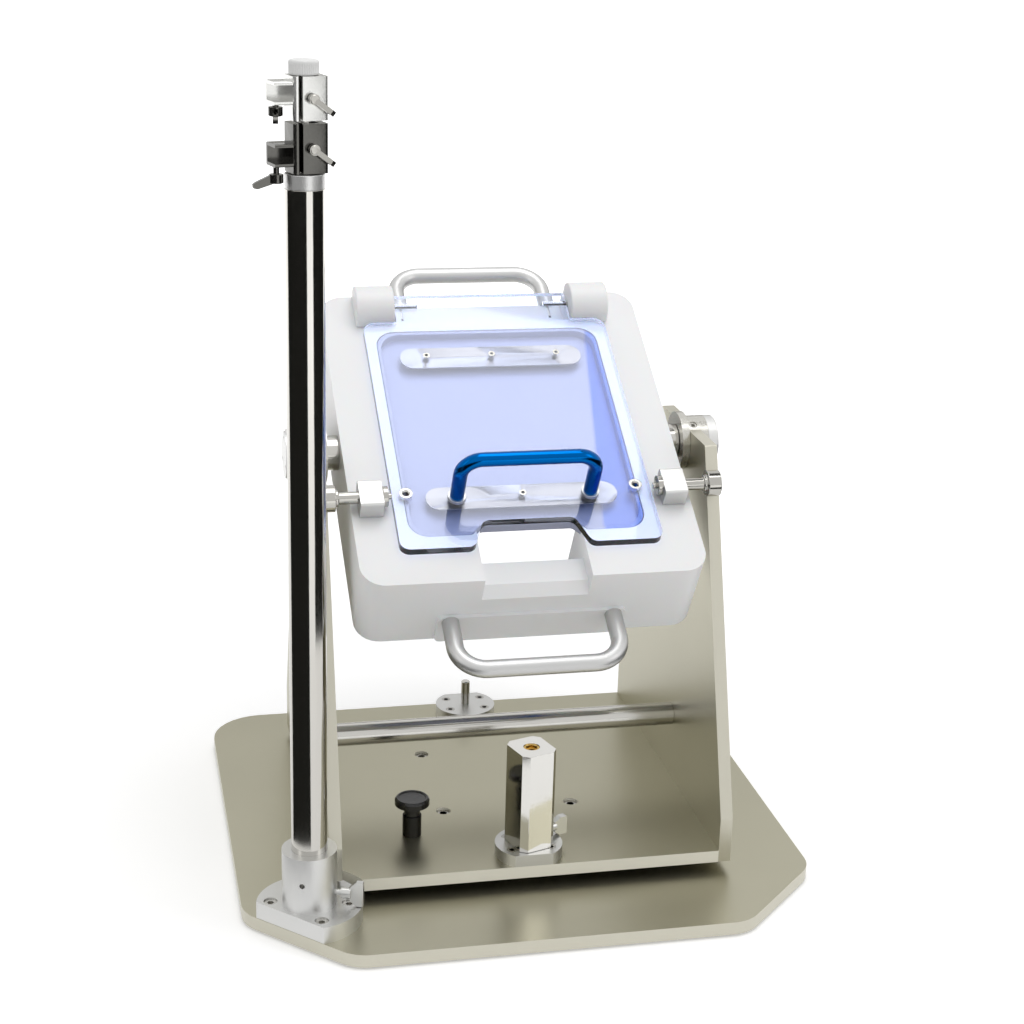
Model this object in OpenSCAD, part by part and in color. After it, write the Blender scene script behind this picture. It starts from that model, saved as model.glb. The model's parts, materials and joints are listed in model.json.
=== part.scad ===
/* [Base plate] */
// Width of the base plate, left to right
base_w = 570; // [540:5:620]
// Depth of the base plate, front to back
base_d = 541; // [520:1:600]
// Thickness of the base plate
base_t = 13; // [8:0.5:20]
// Length of the slanted cut along each edge of the front corners
base_cut = 95; // [80:1:105]
// Radius that blends the slanted cuts into the edges
base_blend_r = 38; // [10:1:45]
// Radius of the rear corners
base_rear_r = 57; // [20:1:80]
// Radius of each rubber foot
foot_r = 14; // [8:1:20]
// Distance from the plate's edges to the foot centres
foot_inset = 42; // [30:1:60]
// Height that each rubber foot stands proud of the plate
foot_proud = 2; // [1:0.5:5]

/* [Yoke] */
// Outside width of the yoke
yoke_w = 403; // [390:1:420]
// Depth of the yoke
yoke_d = 391.4; // [370:0.2:400]
// Thickness of the yoke's plates
plate_t = 12.5; // [10:0.5:16]
// Gap between base plate and yoke floor, filled by the turntable
yoke_gap = 9.6; // [8:0.2:14]
// Distance of the swivel axis behind the base plate's middle
swivel_y = 25; // [20:1:30]
// Height above the yoke's underside where the side plates start to narrow
side_straight_h = 47; // [30:1:80]
// Height of the side plates
side_h = 399; // [380:1:420]
// Width of the side plates' flat top edge
side_top_w = 150; // [100:1:154]
// Radius of the cross rod
cross_rod_r = 12; // [8:0.5:16]
// Height of the cross rod's axis above the base plate
cross_rod_h = 91.3; // [80:0.1:120]
// Distance of the cross rod in front of the swivel axis
cross_rod_forward = 15.4; // [0:0.1:30]
// Spacing of the four floor screws along each side of their square
floor_screw_pitch = 135; // [110:1:150]

/* [Turntable and index plunger] */
// Outer radius of the turntable discs
turntable_r = 112; // [105:1:135]
// Radius of the turntable's centre stub
stub_r = 15; // [10:1:25]
// Distance from the swivel axis to the index plunger
plunger_r = 155; // [150:1:165]
// Direction of the plunger from the swivel axis, in degrees
plunger_angle = 226; // [215:1:235]
// Radius of the plunger's locking pin
plunger_pin_r = 4; // [3:0.5:6]
// Travel of the plunger from free to locked
plunger_travel = 7; // [5:0.5:8]
// Radius of the mushroom knob
plunger_knob_r = 17.5; // [14:0.5:22]
// Angle between neighbouring index holes
index_step = 15; // [5:5:15]

/* [Post and feet] */
// Distance of each foot from the swivel axis
foot_plate_out = 168; // [160:1:172]
// Radius of the round foot plates
foot_plate_r = 33.5; // [30:0.5:38]
// Thickness of the foot plates
foot_plate_t = 12; // [8:0.5:16]
// Radius of the spigots that stand in the feet
spigot_r = 5; // [4:0.5:7]
// Height of a spigot above its foot plate
spigot_h = 28; // [20:1:32]
// Width of the post
post_w = 38; // [32:1:42]
// Depth of the post
post_d = 42; // [34:1:46]
// Height of the post
post_h = 103; // [80:1:120]
// Turn of the post on its spigot, in degrees
post_turn = 18; // [0:1:30]
// Cut on the post's corners
post_cut = 6; // [2:0.5:8]

/* [Column] */
// Distance of the column to the left of the middle
column_left = 223; // [221:1:225]
// Distance of the column in front of the base plate's middle
column_front = 194.5; // [192:0.5:196]
// Radius of the column tube
tube_r = 17; // [15:0.5:17]
// Wall of the column tube
tube_wall = 2.5; // [1.5:0.5:4]
// Height of the tube's top above the base plate
tube_top = 692; // [500:1:720]
// Radius of the column's flange
flange_r = 50.4; // [46:0.2:52]
// Thickness of the column's flange
flange_t = 17; // [12:0.5:18]
// Radius of the collar on the flange
collar_r = 26; // [24:0.5:27]
// Height of the collar's top above the base plate
collar_h = 74; // [60:1:90]
// Radius of the thin rod above the column
rod_r = 6; // [5:0.5:6.5]
// Height of the satin cap on the tube
cap_h = 12.6; // [8:0.2:20]
// Height of the lower clamp body
lower_clamp_h = 41; // [40:1:46]
// Height of the upper clamp body
upper_clamp_h = 36; // [34:1:46]

/* [Tank] */
// Tilt of the tank, front edge down, in degrees
tilt = 30.8; // [20:0.2:31]
// Height of the tilt axis above the base plate
pivot_h = 392; // [385:1:396]
// Width of the tank frame
tank_w = 336; // [330:1:340]
// Length of the tank frame, front to back
tank_l = 387; // [380:1:394]
// Thickness of the tank frame
tank_t = 86; // [70:1:95]
// Radius of the tank frame's upright corners
tank_r = 24; // [12:1:30]
// Distance from the front face to the tilt axis
pivot_s = 192; // [188:1:196]
// Depth of the tilt axis below the top face
pivot_drop = 27; // [24:1:34]
// Width of the gel tray
tray_w = 232; // [220:1:236]
// Depth of the gel tray
tray_t = 10.3; // [8:0.1:14]
// Wall of the gel tray
tray_wall = 4; // [2:0.5:5]
// Distance from the front face to the gel tray
tray_front = 54; // [52:1:58]
// Length of the gel tray
tray_l = 275; // [260:1:278]

/* [Lid] */
// Width of the clear lid
lid_w = 256; // [240:1:262]
// Thickness of the clear lid
lid_t = 8; // [6:0.5:8]
// Distance from the front face to the lid's front edge
lid_front = 35; // [30:1:40]
// Depth of the finger notch in the lid's front edge
notch_d = 31.5; // [24:0.5:34]
// Width of the finger notch at its mouth
notch_w = 114; // [100:1:124]
// Distance from the front face to the hinge axis
hinge_s = 364; // [360:1:368]
// Radius of the hinge blocks
hinge_r = 23.5; // [20:0.5:23.5]
// Width of each hinge block
hinge_block_w = 40; // [30:1:44]
// Distance from the middle to each hinge block
hinge_block_x = 94; // [88:1:96]
// Centre distance of the lid handle's legs
lid_grip_w = 132; // [120:1:140]
// Height of the lid handle's bar above the lid
lid_grip_h = 54; // [40:1:60]
// Radius of the lid handle's tube
lid_grip_r = 7; // [5:0.5:8]

/* [Latches] */
// Distance of the latch axis behind the front face
latch_s = 98; // [94:1:99]
// Height of the latch axis above the top face
latch_h = 12.5; // [12:0.5:14]
// Radius of the latch knobs
latch_knob_r = 13; // [10:0.5:13]
// Travel of each latch pin
latch_travel = 10; // [6:0.5:10]

/* [Carrying handles] */
// Centre distance of the handles' legs
grip_w = 160; // [140:1:168]
// Reach of the handles' bars from the face that carries them
grip_reach = 57; // [45:1:60]
// Radius of the handles' bars
grip_r = 8.5; // [7:0.5:10]

/* [Fits] */
// Radial clearance of a shaft that turns or slides in its bore
run_gap = 0.05; // [0.02:0.01:0.1]
// Gap between faces that move past each other
face_gap = 0.3; // [0.2:0.05:0.6]
// Radial clearance of a screw in its hole
screw_gap = 0.1; // [0.05:0.05:0.2]

/* [Hidden] */
$fn = 64;

// Heights
base_top = foot_proud + base_t;
floor_bottom = base_top + yoke_gap;
floor_top = floor_bottom + plate_t;
foot_top = floor_top + foot_plate_t;
cross_rod_z = base_top + cross_rod_h;
pivot_z = base_top + pivot_h;
tube_top_z = base_top + tube_top;
cap_top_z = tube_top_z + cap_h;
collar_top_z = base_top + collar_h;
side_top_z = floor_bottom + side_h;

// Turntable: two discs with a face gap between them
disc_t = (yoke_gap - face_gap) / 2;
turntable_screw_ring = 60;
index_side = 4;
index_depth = 8.5;
pin_rest_z = base_top + 0.8;
sleeve_r = 9.5;
sleeve_h = 22;
knob_under_z = floor_top + sleeve_h + plunger_travel + 0.8;

// Rubber feet
foot_seat = 3;

// Yoke
floor_screw_sink = 2.5;
side_in = yoke_w / 2 - plate_t;
scallop_r = flange_r + 8;
scallop_top = floor_top + 0.6;
side_screw_y = [-150, 0, 150];
cross_rod_y = swivel_y - cross_rod_forward;

// Column
column_x = -column_left;
column_y = -column_front;
thumb_angle = -20;
thumb_wing = 25;
thumb_z = base_top + flange_t + thumb_wing / 2 + 0.8;
flange_screw_ring = 37;
flange_screw_angles = [225 - 56, 225 + 56, 45 - 56, 45 + 56];
flange_flat = (base_w / 2 + base_d / 2 - base_cut - column_left - column_front) / sqrt(2) - 0.4;
collar_hole_r = 2.6;

// Clamps on the thin rod
lower_clamp_z = cap_top_z + 0.8;
upper_clamp_z = lower_clamp_z + lower_clamp_h + 2.5;
knob_z = upper_clamp_z + upper_clamp_h + face_gap;
knob_r = 12.8;
knob_h = 13;
clamp_turn = 14;
clamp_w = 30.5;
clamp_d = 26;
clamp_wall = 6;
clamp_left = -13.5;
jaw_l = 16;
jaw_h = 19;
jaw_wall = 2.8;
lower_jaw_z = 6 + jaw_h / 2;
upper_jaw_z = 13 + jaw_h / 2;
jaw_screw_x = clamp_left - 12;
lever_reach = 20;

// Post
post_z = foot_top + face_gap;
post_socket = spigot_h + 3;
post_wing = 19;
post_screw_h = post_wing / 2 + 0.6;
insert_r = 8;
insert_h = 12;

// Trunnions, measured outwards along X from the middle
shoulder_r = 17.5;
journal_r = 10;
journal_in = 20;
housing_disc_r = 30;
housing_r = 25.5;
housing_in = tank_w / 2 + 13;
housing_disc_t = side_in - housing_in - 0.2;
housing_out = yoke_w / 2 + 8.5;
end_cap_t = 11;

// Tank frame, in the tank's own frame: x, s from the front face, w up from the top face
window_w = tray_w - 16;
window_front = tray_front + 21;
window_back = tray_front + tray_l - 8;
front_wall = 36;
trough_d = 19;
trough_w = 104;
trough_lip = 10;
tray_gap = 0.6;
pad_w = grip_w + 26;
pad_top = 50;
pad_t = 4;
relief_d = 22;
front_grip_drop = 56;
rear_grip_drop = 25;
grip_bend = 28;

// Lid
lid_z = face_gap;
hinge_w = lid_z + lid_t / 2;
hinge_pin_r = 3;
tongue_w = 2 * hinge_block_x - 3;
tongue_back = hinge_s + 14;
lid_back = hinge_s - hinge_r - 1.5;
notch_s = lid_front + notch_d;
notch_top_w = notch_w - 24;
strip_w = 190;
strip_d = 28;
strip_t = 1.5;
rear_strip_s = 290;
front_strip_s = 100;
strip_screw_x = [-68, 0, 68];
lid_grip_s = 96;
ferrule_r = 9;
ferrule_h = 4;
insert_x = 114;
insert_s = 105;

// Latches
latch_block_x = 138;
latch_block_w = 23;
latch_block_d = 32;
latch_block_h = 20.4;
latch_rod_r = 6;
latch_tip_r = 3;
latch_bush_r = 10;
latch_bush_t = 5;
latch_tip_x = lid_w / 2 + 1;
latch_shoulder_x = latch_block_x + 13.2;
latch_neck_x = tank_w / 2 + 13;
latch_knob_t = 13;

// Outline helpers: a polygon whose corners are replaced by arcs
function unit(v) = v / norm(v);
function corner(p0, p1, p2, r, n = 8) =
  let (a = unit(p0 - p1), b = unit(p2 - p1), half = acos(a * b) / 2,
    c = p1 + unit(a + b) * r / sin(half), s = p1 + a * r / tan(half) - c,
    e = p1 + b * r / tan(half) - c, from = atan2(s.y, s.x),
    turn = ((atan2(e.y, e.x) - from + 540) % 360) - 180)
  [for (i = [0:n]) c + r * [cos(from + turn * i / n), sin(from + turn * i / n)]];
function rounded(pts, radii) =
  let (n = len(pts))
  [for (i = [0:n - 1]) each radii[i] <= 0 ? [pts[i]]
    : corner(pts[(i + n - 1) % n], pts[i], pts[(i + 1) % n], radii[i])];
function rect(w, d, r) = rounded(
  [[-w / 2, -d / 2], [w / 2, -d / 2], [w / 2, d / 2], [-w / 2, d / 2]], [r, r, r, r]);

// The plan outlines
function base_outline() = rounded(
  [[-base_w / 2 + base_cut, -base_d / 2], [base_w / 2 - base_cut, -base_d / 2],
    [base_w / 2, -base_d / 2 + base_cut], [base_w / 2, base_d / 2],
    [-base_w / 2, base_d / 2], [-base_w / 2, -base_d / 2 + base_cut]],
  [base_blend_r, base_blend_r, base_blend_r, base_rear_r, base_rear_r, base_blend_r]);
function tray_outline(g) =
  let (x = tray_w / 2 + g, s0 = tray_front - g, s1 = tray_front + tray_l + g,
    n = notch_s + 0.5 - g, m = notch_w / 2 - g, t = notch_top_w / 2 - g)
  rounded([[-x, s0], [-m, s0], [-t, n], [t, n], [m, s0], [x, s0], [x, s1], [-x, s1]],
    [20, 5, 5, 5, 5, 20, 20, 20]);
function lid_outline() =
  let (x = lid_w / 2, t = tongue_w / 2)
  rounded([[-x, lid_front], [-notch_w / 2, lid_front], [-notch_top_w / 2, notch_s],
      [notch_top_w / 2, notch_s], [notch_w / 2, lid_front], [x, lid_front], [x, lid_back],
      [t, lid_back], [t, tongue_back], [-t, tongue_back], [-t, lid_back], [-x, lid_back]],
    [10, 9, 9, 9, 9, 10, 12, 2, 3, 3, 2, 12]);

// Placing helpers
module on_swivel() translate([0, swivel_y, 0]) children();
module on_column() translate([column_x, column_y, 0]) children();
module on_plunger() on_swivel() rotate(plunger_angle) translate([plunger_r, 0, 0]) children();
module on_post() on_swivel() translate([0, -foot_plate_out, post_z]) rotate(post_turn) children();
// Draws children in the tank's own frame, then tilts them into place
module on_tank() translate([0, swivel_y, pivot_z]) rotate([tilt, 0, 0])
  translate([0, -pivot_s, pivot_drop]) children();
module both_sides() for (side = [0, 1]) mirror([side, 0, 0]) children();
// A cylinder along X from x0 to x1
module x_rod(r, x0, x1) translate([x0, 0, 0]) rotate([0, 90, 0]) cylinder(r = r, h = x1 - x0);

// A countersunk screw with a hex socket, head up, its top face at z = 0
module countersunk(head_r, shank_r, length) difference() {
  union() {
    translate([0, 0, -(head_r - shank_r)]) cylinder(r1 = shank_r, r2 = head_r, h = head_r - shank_r);
    translate([0, 0, -length]) cylinder(r = shank_r, h = length);
  }
  translate([0, 0, -head_r * 0.6]) cylinder(r = head_r * 0.55, h = head_r, $fn = 6);
}
// The hole that such a screw sits in
module countersunk_hole(head_r, shank_r, length, above = 2) {
  translate([0, 0, -(head_r - shank_r)])
    cylinder(r1 = shank_r + screw_gap, r2 = head_r + screw_gap, h = head_r - shank_r);
  translate([0, 0, -length - 0.5]) cylinder(r = shank_r + screw_gap, h = length + 0.6);
  translate([0, 0, -0.01]) cylinder(r = head_r + screw_gap, h = above);
}
// A round-headed cap screw along +Z, the seat of its head at z = 0
module cap_screw(head_r, head_h, shank_r, length) difference() {
  union() {
    cylinder(r = head_r, h = head_h);
    translate([0, 0, -length]) cylinder(r = shank_r, h = length);
  }
  translate([0, 0, head_h * 0.4]) cylinder(r = head_r * 0.5, h = head_h, $fn = 6);
}
// A wing screw along +Z: shank below z = 0, then hub and wings
module wing_screw(shank_r, length, hub_r, hub_h, wing_w, wing_h, wing_t = 5) {
  translate([0, 0, -length]) cylinder(r = shank_r, h = length);
  cylinder(r = hub_r, h = hub_h);
  translate([0, wing_t / 2, hub_h - 2]) rotate([90, 0, 0]) linear_extrude(wing_t)
    polygon(rounded([[-hub_r, 0], [hub_r, 0], [wing_w / 2, wing_h * 0.5], [wing_w / 2, wing_h],
      [-wing_w / 2, wing_h], [-wing_w / 2, wing_h * 0.5]], [0, 0, 1, 1, 1, 1]));
}
// A U-shaped round bar: legs along +Z from z = 0 at x = +-w/2, bar at z = reach
module bow(w, reach, r, bend) {
  both_sides() {
    translate([w / 2, 0, 0]) cylinder(r = r, h = reach - bend);
    translate([w / 2 - bend, 0, reach - bend]) rotate([90, 0, 0])
      rotate_extrude(angle = 90) translate([bend, 0]) circle(r = r);
  }
  translate([0, 0, reach]) x_rod(r, -w / 2 + bend, w / 2 - bend);
}

module base_plate() color("#a9a68f") difference() {
  translate([0, 0, foot_proud]) linear_extrude(base_t) polygon(base_outline());
  foot_places() translate([0, 0, -1]) cylinder(r = foot_r + screw_gap, h = foot_proud + foot_seat + 1);
  on_swivel() for (i = [-index_side:index_side]) rotate(plunger_angle + i * index_step)
    translate([plunger_r, 0, base_top - index_depth])
      cylinder(r = plunger_pin_r + run_gap, h = index_depth + 1);
  turntable_screw_places() countersunk_hole(7, 3.5, base_t);
  on_column() flange_screw_places() translate([0, 0, base_top - 9])
    cylinder(r = 3.5 + screw_gap, h = 10);
}
module foot_places() for (x = [-1, 1], y = [-1, 1])
  translate([x * (base_w / 2 - foot_inset - (y < 0 ? base_cut / 2 : 0)),
    y * (base_d / 2 - foot_inset), 0]) children();
module rubber_feet() color("#262626") foot_places() difference() {
  cylinder(r = foot_r, h = foot_proud + foot_seat);
  translate([0, 0, -0.01]) cylinder(r = foot_r / 3, h = 1.2);
}

module turntable_screw_places() on_swivel() for (i = [0:3]) rotate(i * 90)
  translate([turntable_screw_ring, 0, foot_proud]) rotate([180, 0, 0]) children();
module turntable_base() color("#8f9091") difference() {
  on_swivel() union() {
    translate([0, 0, base_top]) cylinder(r = turntable_r, h = disc_t);
    translate([0, 0, base_top]) cylinder(r = stub_r, h = yoke_gap - face_gap);
  }
  turntable_screw_places() translate([0, 0, -base_t - 3.6])
    cylinder(r = 3.5 + screw_gap, h = 4);
}
module turntable_base_screws() color("#b8b8b6") turntable_screw_places()
  countersunk(7, 3.5, base_t + 3);
module turntable_top() color("#9a9b9c") on_swivel() difference() {
  translate([0, 0, base_top + disc_t + face_gap]) cylinder(r = turntable_r, h = disc_t);
  translate([0, 0, base_top]) cylinder(r = stub_r + run_gap, h = yoke_gap + 1);
  floor_screw_places() translate([0, 0, -plate_t - disc_t - 1])
    cylinder(r = 4 + screw_gap, h = disc_t + 2 + floor_screw_sink);
}

module floor_screw_places() for (x = [-1, 1], y = [-1, 1])
  translate([x, y, 0] * floor_screw_pitch / 2 + [0, 0, floor_top - floor_screw_sink]) children();
module column_scallop() on_column() translate([0, 0, floor_bottom - 1])
  cylinder(r = scallop_r, h = scallop_top - floor_bottom + 1, $fn = 96);
module yoke_floor_plate() color("#a9a68f") difference() {
  on_swivel() translate([0, 0, floor_bottom + plate_t / 2])
    cube([2 * side_in, yoke_d, plate_t], center = true);
  column_scallop();
  on_swivel() floor_screw_places() countersunk_hole(7.5, 4, plate_t + 1, floor_screw_sink + 1);
  on_plunger() translate([0, 0, floor_bottom - 1]) cylinder(r = 6.5 + screw_gap, h = plate_t + 2);
  foot_screw_places() translate([0, 0, -foot_plate_t - 9]) cylinder(r = 2.5 + screw_gap, h = 10);
  both_sides() side_screw_places() rotate([0, 90, 0]) translate([0, 0, -14])
    cylinder(r = 3 + screw_gap, h = 15);
}
module yoke_floor_screws() color("#b8b8b6") on_swivel() floor_screw_places()
  countersunk(7.5, 4, plate_t + disc_t - 0.4 - floor_screw_sink);

module side_screw_places() on_swivel() for (y = side_screw_y)
  translate([side_in, y, floor_bottom + plate_t / 2]) children();
// The right-hand side plate
module side_plate() difference() {
  on_swivel() translate([side_in, 0, 0]) rotate([90, 0, 90]) linear_extrude(plate_t)
    polygon(rounded([[-yoke_d / 2, floor_bottom], [yoke_d / 2, floor_bottom],
      [yoke_d / 2, floor_bottom + side_straight_h], [side_top_w / 2, side_top_z],
      [-side_top_w / 2, side_top_z], [-yoke_d / 2, floor_bottom + side_straight_h]],
      [0.8, 0.8, 6, 2, 2, 6]));
  translate([0, swivel_y, pivot_z]) x_rod(housing_r + run_gap, side_in - 1, yoke_w / 2 + 1);
  side_screw_places() rotate([0, 90, 0]) translate([0, 0, plate_t]) countersunk_hole(6, 3, plate_t);
  cross_screw_place() translate([0, 0, -1]) cylinder(r = 4 + screw_gap, h = plate_t + 2);
}
module yoke_side_plate_right() color("#a9a68f") side_plate();
module yoke_side_plate_left() color("#a9a68f") difference() {
  mirror([1, 0, 0]) side_plate();
  column_scallop();
}
module yoke_side_screws() color("#b8b8b6") both_sides() side_screw_places()
  rotate([0, 90, 0]) translate([0, 0, plate_t]) countersunk(6, 3, plate_t + 13);

module cross_screw_place() translate([side_in, cross_rod_y, cross_rod_z]) rotate([0, 90, 0])
  children();
module cross_rod() color("#c9c8c4") difference() {
  translate([0, cross_rod_y, cross_rod_z]) x_rod(cross_rod_r, -side_in, side_in);
  both_sides() cross_screw_place() translate([0, 0, -20]) cylinder(r = 4 + screw_gap, h = 21);
}
module cross_rod_screws() color("#b8b8b6") both_sides() cross_screw_place()
  translate([0, 0, plate_t]) cap_screw(8, 4.5, 4, plate_t + 18);

module index_plunger_sleeve() color("#3a3a3a") on_plunger() difference() {
  union() {
    translate([0, 0, floor_bottom + 0.5]) cylinder(r = 6.5, h = plate_t + 2);
    translate([0, 0, floor_top]) cylinder(r = sleeve_r, h = sleeve_h);
  }
  cylinder(r = plunger_pin_r + run_gap, h = 100);
  translate([0, 0, floor_top + 3]) cylinder(r = sleeve_r - 1.2, h = sleeve_h);
}
module index_plunger_knob() color("#141414") on_plunger() difference() {
  union() {
    translate([0, 0, floor_top + 3.5 + plunger_travel]) cylinder(r = sleeve_r - 1.5, h = 22);
    translate([0, 0, knob_under_z]) cylinder(r1 = sleeve_r, r2 = plunger_knob_r, h = 4);
    translate([0, 0, knob_under_z + 4]) cylinder(r = plunger_knob_r, h = 5.5);
    translate([0, 0, knob_under_z + 9.5]) cylinder(r1 = plunger_knob_r, r2 = plunger_knob_r - 2, h = 2);
  }
  cylinder(r = plunger_pin_r, h = knob_under_z + 2);
  translate([0, 0, knob_under_z + 10.5]) cylinder(r = plunger_knob_r - 4, h = 2);
}
module index_plunger_pin() color("#c9c8c4") on_plunger()
  translate([0, 0, pin_rest_z]) cylinder(r = plunger_pin_r, h = knob_under_z + 2 - pin_rest_z);

// Feet: a round plate with one side cut flush with the yoke's edge
module foot_plate(out) difference() {
  on_swivel() intersection() {
    translate([0, out, floor_top]) cylinder(r = foot_plate_r, h = foot_plate_t);
    translate([0, 0, floor_top + foot_plate_t / 2])
      cube([yoke_w, yoke_d, foot_plate_t + 2], center = true);
  }
  foot_screw_places() countersunk_hole(5, 2.5, foot_plate_t);
  on_swivel() translate([0, out, floor_top + 2]) cylinder(r = spigot_r - 1 + screw_gap, h = 20);
}
module foot_screw_places() on_swivel() for (out = [-1, 1], a = [35, 145, 215, 325])
  translate([24 * cos(a), out * foot_plate_out + 24 * sin(a), foot_top]) children();
module front_foot() color("#c6c6c3") foot_plate(-foot_plate_out);
module rear_foot() color("#c6c6c3") foot_plate(foot_plate_out);
module foot_screws() color("#8b8a84") foot_screw_places() countersunk(5, 2.5, foot_plate_t + 8);
module spigot(out) on_swivel() translate([0, out, floor_top + 2]) {
  cylinder(r = spigot_r - 1, h = foot_plate_t - 2);
  translate([0, 0, foot_plate_t - 2]) cylinder(r = spigot_r, h = spigot_h - 1);
  translate([0, 0, foot_plate_t - 3 + spigot_h]) cylinder(r1 = spigot_r, r2 = spigot_r - 1, h = 1);
}
module front_spigot() color("#c9c8c4") spigot(-foot_plate_out);
module rear_spigot() color("#c9c8c4") spigot(foot_plate_out);

module flange_screw_places() for (a = flange_screw_angles)
  rotate(a) translate([flange_screw_ring, 0, 0]) children();
module column_flange() color("#c2c2c0") on_column() difference() {
  union() {
    difference() {
      translate([0, 0, base_top]) cylinder(r = flange_r, h = flange_t);
      rotate(225) translate([flange_flat, -flange_r, 0]) cube([flange_r, 2 * flange_r, 99]);
    }
    translate([0, 0, base_top]) cylinder(r = collar_r, h = collar_h);
  }
  translate([0, 0, base_top + 3]) cylinder(r = tube_r + run_gap, h = collar_h);
  flange_screw_places() translate([0, 0, base_top + flange_t]) {
    translate([0, 0, -7.5]) cylinder(r = 6.5 + screw_gap, h = 9);
    translate([0, 0, -flange_t - 1]) cylinder(r = 3.5 + screw_gap, h = flange_t);
  }
  translate([0, 0, thumb_z]) rotate(thumb_angle) x_rod(3 + run_gap, 0, collar_r + 1);
  for (a = [-112, -48]) translate([0, 0, thumb_z + 17]) rotate(a)
    x_rod(collar_hole_r, 0, collar_r + 1);
}
module column_flange_screws() color("#8f8f8c") on_column() flange_screw_places()
  translate([0, 0, base_top + flange_t - 7.5]) cap_screw(6.5, 6, 3.5, flange_t + 1);
module column_tube() color("#8d8b84") on_column() difference() {
  translate([0, 0, base_top + 3]) cylinder(r = tube_r, h = tube_top - 3);
  translate([0, 0, base_top]) cylinder(r = tube_r - tube_wall, h = tube_top + 5);
}
module column_cap() color("#bdbdba") on_column() difference() {
  union() {
    translate([0, 0, tube_top_z]) cylinder(r = tube_r, h = cap_h);
    translate([0, 0, tube_top_z - 20]) cylinder(r = tube_r - tube_wall - run_gap, h = 21);
  }
  translate([0, 0, tube_top_z - 12]) cylinder(r = rod_r + run_gap, h = 40);
}
module column_thumb_screw() color("#c4c4c2") on_column() translate([0, 0, thumb_z])
  rotate(thumb_angle) translate([31, 0, 0]) rotate([0, 90, 0])
    wing_screw(3, 31 - tube_r - 0.4, 5.5, 9, thumb_wing, 14);
module top_rod() color("#c9c8c4") on_column()
  translate([0, 0, tube_top_z - 12]) cylinder(r = rod_r, h = knob_z + 9 - tube_top_z + 12);
module top_knob() color("#ececea") on_column() difference() {
  union() {
    translate([0, 0, knob_z]) cylinder(r = knob_r, h = knob_h - 1);
    translate([0, 0, knob_z + knob_h - 1]) cylinder(r1 = knob_r, r2 = knob_r - 1, h = 1);
  }
  translate([0, 0, knob_z - 1]) cylinder(r = rod_r + run_gap, h = 10.5);
}

// A rod clamp: an upright channel round the thin rod, with a slit, and a side jaw for a
// crosswise rod: a U on its side, closed at the back and open to the front and the left
module clamp_body(z, h, jaw_z) on_column() translate([0, 0, z]) rotate(clamp_turn) difference() {
  union() {
    linear_extrude(h) translate([clamp_left + clamp_w / 2, 0]) difference() {
      polygon(rect(clamp_w, clamp_d, 3));
      square([clamp_w - 2 * clamp_wall - 1, clamp_d - 2 * clamp_wall], center = true);
      translate([-clamp_w / 2 + clamp_wall, -clamp_d / 2]) square([4, 12], center = true);
    }
    translate([clamp_left - jaw_l, 0, jaw_z]) rotate([90, 0, 90]) linear_extrude(jaw_l + 1)
      difference() {
        polygon(rect(clamp_d - 4, jaw_h, 1.5));
        translate([-jaw_wall - 1, 0])
          square([clamp_d - 4 + 2, jaw_h - 2 * jaw_wall], center = true);
      }
  }
  clamp_rod_screw_place(h) translate([0, 0, -9]) cylinder(r = 2.5 + run_gap, h = 12);
  clamp_jaw_screw_place(jaw_z) translate([0, 0, -4]) cylinder(r = 2.5 + run_gap, h = 8);
}
module clamp_rod_screw_place(h)
  translate([2.5, -clamp_d / 2 - 0.4, h / 2]) rotate([90, 0, 0]) children();
module clamp_jaw_screw_place(jaw_z)
  translate([jaw_screw_x, -2, jaw_z - jaw_h / 2 - 0.4]) rotate([180, 0, 0]) children();
// A lever screw along +Z: shank, neck, hub, and a blade that leans outwards along +X
module lever_screw(shank_r, length, neck, hub_r, hub_h, reach) {
  translate([0, 0, -length]) cylinder(r = shank_r, h = length + neck + 1);
  translate([0, 0, neck]) cylinder(r = hub_r, h = hub_h);
  translate([0, 0, neck + hub_h - 0.5]) cylinder(r1 = hub_r, r2 = hub_r - 1, h = 1);
  translate([0, 2.2, neck]) rotate([90, 0, 0]) linear_extrude(4.4)
    polygon(rounded([[0, 1], [hub_r, 1], [reach - 3, hub_h - 1], [reach, hub_h + 1],
      [reach, hub_h + 4], [reach - 4, hub_h + 5], [0, hub_h]], [0, 0, 2, 1.2, 1.2, 2, 0]));
}
module clamp_rod_screw(z, h) color("#9d9c97") on_column() translate([0, 0, z])
  rotate(clamp_turn) clamp_rod_screw_place(h) rotate(-38) lever_screw(2.5, 6.4, 1, 4.5, 5, lever_reach);
module clamp_jaw_screw(z, jaw_z, neck, turn) color("#6f6e69") on_column() translate([0, 0, z])
  rotate(clamp_turn) clamp_jaw_screw_place(jaw_z) rotate(180 + turn)
    lever_screw(2.5, jaw_wall + 0.3, neck, 6, 7, lever_reach);
module lower_clamp_body() color("#7d7c78") clamp_body(lower_clamp_z, lower_clamp_h, lower_jaw_z);
module lower_clamp_rod_screw() clamp_rod_screw(lower_clamp_z, lower_clamp_h);
module lower_clamp_jaw_screw() clamp_jaw_screw(lower_clamp_z, lower_jaw_z, 6, 8);
module upper_clamp_body() color("#b9b8b4") clamp_body(upper_clamp_z, upper_clamp_h, upper_jaw_z);
module upper_clamp_rod_screw() clamp_rod_screw(upper_clamp_z, upper_clamp_h);
module upper_clamp_jaw_screw() clamp_jaw_screw(upper_clamp_z, upper_jaw_z, 1.5, -70);

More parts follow.
